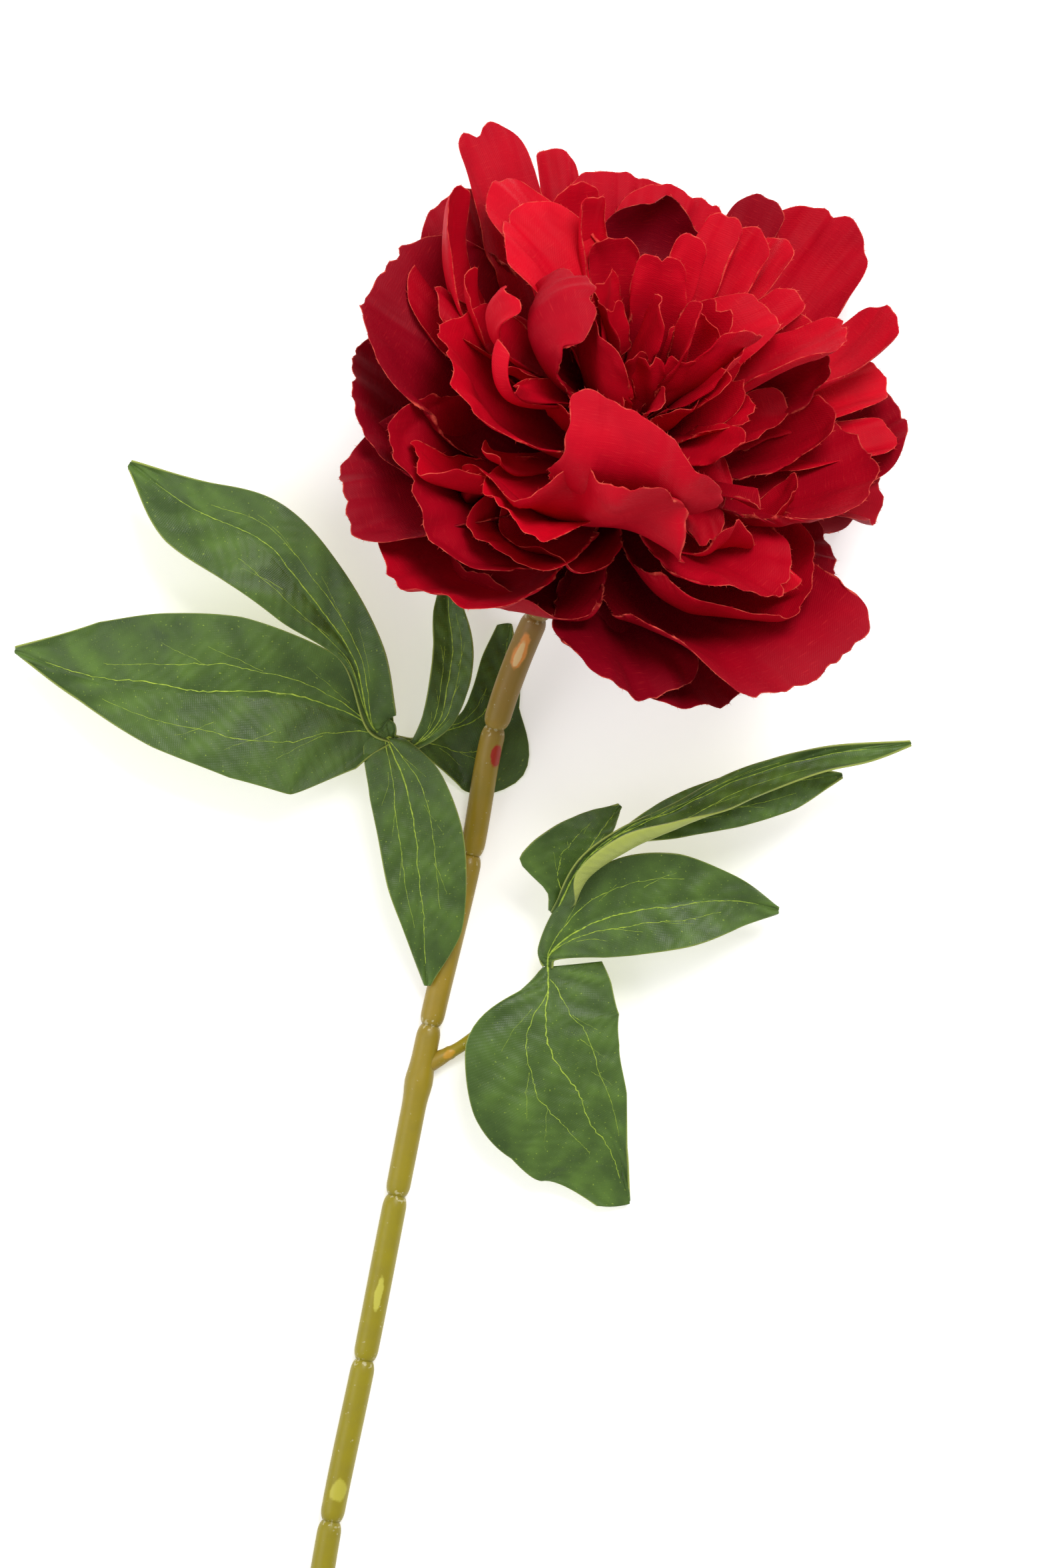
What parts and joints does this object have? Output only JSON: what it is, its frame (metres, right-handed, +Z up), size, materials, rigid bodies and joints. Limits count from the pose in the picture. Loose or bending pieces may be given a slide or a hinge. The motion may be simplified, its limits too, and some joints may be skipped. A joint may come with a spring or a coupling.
{
  "type": "artificial peony stem",
  "caption": "Artificial peony lying down: a full red satin bloom on a jointed green plastic stem with compound leaves.",
  "frame": {"origin": "bottom centre of the box of the whole part, on the surface that it lies on", "axes": "+Y from the cut end of the stem towards the bloom, +Z up from the surface, +X to the right"},
  "size_m": [0.2384, 0.4562, 0.1246],
  "materials": {
    "petal": "red satin weave with frayed edges",
    "stem": "moulded olive plastic with brown tints",
    "wire": "cut steel wire",
    "leaf": "printed and embossed cloth with yellow green veins",
    "calyx": "moulded green plastic"
  },
  "bodies": {
    "root": {"stem": "stem", "stem_wire": "wire", "calyx": "calyx", "bloom": "petal", "petiole_left": "stem", "petiole_right": "stem", "leaf_left": "leaf", "leaf_right": "leaf"}
  },
  "joints": []
}
